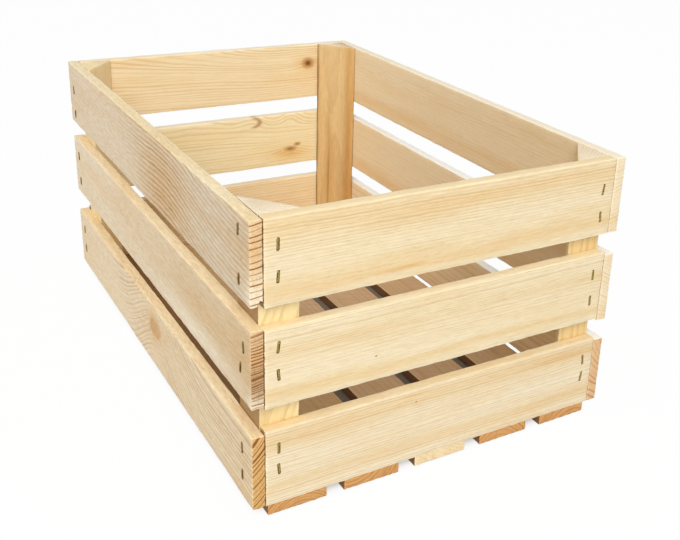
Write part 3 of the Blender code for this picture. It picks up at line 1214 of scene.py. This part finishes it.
def finish_board(piece, node, low, high, axes, seed):
    """Give a board its finish, and hand it over in place of its measured solid."""
    look = {**PLAIN_LOOK, **LOOKS[node]}
    piece.data.materials.append(pine(f"{node}_pine", axes, low, high, look, seed))
    bpy.ops.object.select_all(action="DESELECT")
    piece.select_set(True)
    bpy.context.view_layer.objects.active = piece
    bpy.ops.object.shade_smooth_by_angle(angle=SMOOTH_BELOW)
    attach(piece, "root")
    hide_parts(node)
    SLOTS[kind_of(node)]


def saw_slat(node, seed):
    """Saw one slat, wear it, cut its slits and finish it. Returns how many faces it has."""
    axes = AXES[kind_of(node)]
    low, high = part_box(node)
    piece = block(f"{node}_board", low, high)
    bpy.ops.object.mode_set(mode="EDIT")
    bevel_all(ARRIS)
    for axis, cell in zip(axes, CELL.values()):
        direction = (ACROSS, ALONG, UP)[axis]
        rule(piece, direction, COARSE * cell)
        rule(piece, direction, cell)
    bpy.ops.object.mode_set(mode="OBJECT")
    wear(piece, axes, low, high)
    cut_slits(piece, node)
    finish_board(piece, node, low, high, axes, seed)
    return len(piece.data.polygons)


slats = [node for node in LOOKS if "slat" in node]
faces = [saw_slat(node, SLAT_SEED + SLAT_SEED_STEP * index) for index, node in enumerate(slats)]
bpy.data.objects.remove(slit_blade)
print("slats", len(slats), "faces", sum(faces))

# %% [markdown]
# ## The corner posts
# A post is a square stick sawn in two from corner to corner. It could be drawn as a triangle and pulled up,
# but cutting is how it is made: the block is cut by a slanting plane, and what lies on the inner side of
# the crate is thrown away. Two blunt tips are left, as no saw meets a corner exactly. The post is pressed
# against the slats, so it reaches a hair further out than its solid, and its arrises are sharper than a
# slat's.

# %% Saw the posts
POST_TIP = 0.002
POST_SNUG = 0.00025
POST_ARRIS = 0.0003
POST_SEED = 401
POST_SEED_STEP = 13


def sawn_face(low, high, inward):
    """A point on a post's slanting face, the way the face runs, and the way it looks."""
    corner = Vector((low.x if inward.x > 0 else high.x, low.y if inward.y > 0 else high.y, 0))
    legs = high - low
    tip = corner + Vector((inward.x * legs.x, inward.y * POST_TIP, 0))
    other_tip = corner + Vector((inward.x * POST_TIP, inward.y * legs.y, 0))
    slant = other_tip - tip
    looks = Vector((slant.y, -slant.x, 0)).normalized()
    return tip, slant, looks if looks.dot(inward) > 0 else -looks


def saw_post(node, seed):
    """Saw one post, wear it and finish it. Returns how many faces it has."""
    axes = AXES["post"]
    low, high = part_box(node)
    inward = Vector((1 if "left" in node else -1, 1 if "front" in node else -1, 0))
    for axis in range(2):
        if inward[axis] > 0:
            low[axis] -= POST_SNUG
        else:
            high[axis] += POST_SNUG
    piece = block(f"{node}_board", low, high)
    tip, slant, looks = sawn_face(low, high, inward)
    bpy.ops.object.mode_set(mode="EDIT")
    bpy.ops.mesh.select_all(action="SELECT")
    bpy.ops.mesh.bisect(plane_co=tip, plane_no=looks, use_fill=True, clear_outer=True)
    bevel_all(POST_ARRIS)
    rule(piece, UP, COARSE * CELL["fibre"])
    rule(piece, UP, CELL["fibre"])
    for direction in (ACROSS, ALONG, slant):
        rule(piece, direction, CELL["width"])
    bpy.ops.object.mode_set(mode="OBJECT")
    wear(piece, axes, low, high)
    finish_board(piece, node, low, high, axes, seed)
    return len(piece.data.polygons)


posts = [node for node in LOOKS if "post" in node]
faces = [saw_post(node, POST_SEED + POST_SEED_STEP * index) for index, node in enumerate(posts)]
print("posts", len(posts), "faces", sum(faces))

# %% [markdown]
# ## The staples
# A staple is flat wire bent twice. A curve with a flat profile would give its bends but not its points. So
# one is modelled from a bar: its ends are pulled down into legs, its crown is bowed a little, its points are
# cut to a chisel and its bends and edges are rounded.

# %% Bend one staple
CROWN = 0.0107
WIRE_WIDTH = 0.0021
WIRE_DEPTH = 0.0013
LEG = 0.021
POINT = 0.002
BEND = 0.0011
WIRE_EDGE = 0.0005
ROUND_STEPS = 3
SHARP = math.radians(50)
# Cuts across the crown and its bow, as shares of the way from its middle to the bends, and of the bow
CROWN_CUTS = (-1.0, -0.5, 0.0, 0.5, 1.0)
BOW = 0.0005
BOW_STEPS = ((0.6, 0.7), (0.1, 0.3))
# A face whose normal points below this looks down, and a point this near to a place lies there
DOWNWARD = -0.9
NEAR = 1e-5


def lies_at(x, z):
    """A test for edges that lie this far out, on either side, at a height."""
    def test(edge):
        return all(abs(abs(end.co.x) - x) < NEAR and abs(end.co.z - z) < NEAR for end in edge.verts)
    return test


def bend_staple():
    """A staple with its crown along X on top and its legs down -Z."""
    half_crown = CROWN / 2
    low = Vector((-half_crown, -WIRE_WIDTH / 2, -WIRE_DEPTH))
    piece = block("staple", low, Vector((half_crown, WIRE_WIDTH / 2, 0.0)))
    bend = half_crown - WIRE_DEPTH
    bpy.ops.object.mode_set(mode="EDIT")
    for share in CROWN_CUTS:
        bpy.ops.mesh.select_all(action="SELECT")
        bpy.ops.mesh.bisect(plane_co=share * bend * ACROSS, plane_no=ACROSS)
    pick(piece, "FACE", lambda face: face.normal.z < DOWNWARD and abs(face.calc_center_median().x) > bend)
    bpy.ops.mesh.extrude_region_move(TRANSFORM_OT_translate={"value": (0, 0, WIRE_DEPTH - LEG)})
    for reach, share in BOW_STEPS:
        pick(piece, "EDGE", lambda edge: all(abs(end.co.x) < reach * bend for end in edge.verts))
        bpy.ops.transform.translate(value=(0, share * BOW, 0))
    pick(piece, "EDGE", lies_at(half_crown, -LEG))
    bpy.ops.transform.translate(value=(0, 0, POINT))
    pick(piece, "EDGE", lies_at(half_crown, 0.0))
    bpy.ops.mesh.bevel(offset=BEND, segments=ROUND_STEPS, affect="EDGES")
    pick(piece, "EDGE", lambda edge: edge.calc_face_angle(0) > SHARP)
    bpy.ops.mesh.bevel(offset=WIRE_EDGE, segments=ROUND_STEPS, affect="EDGES")
    bpy.ops.object.mode_set(mode="OBJECT")
    bpy.ops.object.shade_smooth_by_angle(angle=SHARP)
    return piece


one_staple = bend_staple()
print("staple", [round(side * MILLIMETRES, 1) for side in one_staple.dimensions], "mm")

# %% [markdown]
# ## Lacquered wire
# The wire is steel in a golden lacquer, scuffed where the hammer struck it. Two colours and a noise between
# them are enough at this size. The left wall's staples get less light than the others, so they get a darker
# pair of colours, as painted shade.

# %% The wire's finish
LACQUER = (0.28, 0.215, 0.05, 1.0)
BARE_WIRE = (0.48, 0.39, 0.13, 1.0)
# Painted shade: darker copies of the lacquer and the bare wire, for the shaded left wall
PAINTED_SHADE_LACQUER = (0.19, 0.125, 0.035, 1.0)
PAINTED_SHADE_BARE_WIRE = (0.33, 0.23, 0.08, 1.0)
WIRE_METAL = 0.85
# Lumps in millimetres and seeds of the scuffs and of the marks that drawing the wire left
SCUFF_NOISE = ((1.4, 1.4, 1.4), 3.0, 4.0)
SCUFF_EDGE = (-0.1, 0.2)
DRAWN_NOISE = ((0.5, 0.5, 2.5), 9.0)
WIRE_ROUGH = 0.36
SCUFF_ROUGH = 0.3
DRAWN_DEPTH = 0.0002
DRAWN_STRENGTH = 0.4


def lacquered_wire(name, lacquer, bare):
    """Steel wire in a lacquer that is scuffed down to the bare metal here and there."""
    material, shader, start = new_finish(name)
    place = start.node("ShaderNodeTexCoord", out="Object")
    place = place.vector("MULTIPLY", place, (MILLIMETRES,) * 3)
    scuffs = place.noise(*SCUFF_NOISE)
    start.blend(scuffs.step(*SCUFF_EDGE), lacquer, bare).feed(shader.inputs["Base Color"])
    (WIRE_ROUGH + scuffs * SCUFF_ROUGH).feed(shader.inputs["Roughness"])
    relief = {"Strength": DRAWN_STRENGTH, "Distance": DRAWN_DEPTH, "Height": place.noise(*DRAWN_NOISE)}
    start.node("ShaderNodeBump", sockets=relief).feed(shader.inputs["Normal"])
    shader.inputs["Metallic"].default_value = WIRE_METAL
    return material


golden_wire = lacquered_wire("golden_wire", LACQUER, BARE_WIRE)
painted_shade_wire = lacquered_wire("painted_shade_wire", PAINTED_SHADE_LACQUER, PAINTED_SHADE_BARE_WIRE)
print("wires", golden_wire.name, painted_shade_wire.name)

# %% [markdown]
# ## Driving the staples
# What repeats is modelled once and copied. Each copy is turned to its wall and sunk into its slit, and the
# staples of one wall become one piece. A crown is driven nearly flush with the face. The left wall's stand
# out furthest, by a little more than a millimetre.

# %% Drive the staples
PROUD = {"front": 0.0002, "back": 0.0004, "left": 0.0013, "right": 0.0005, "floor": 0.0}


def drive(wall, wire):
    """Drive all the staples of a wall. Returns how many there are."""
    nodes, places = staples[wall]
    proud = Matrix.Translation(PROUD[wall] * UP)
    piece = join(copies_at(one_staple, [place @ proud for _, place in places]))
    piece.name = f"{wall}_staples"
    piece.data.name = piece.name
    bpy.ops.object.transform_apply(location=True, rotation=True, scale=True)
    piece.data.materials.append(wire)
    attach(piece, "root")
    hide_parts(*nodes)
    return len(places)


driven = {wall: drive(wall, painted_shade_wire if wall == "left" else golden_wire) for wall in staples}
bpy.data.objects.remove(one_staple)
print("staples driven", driven)
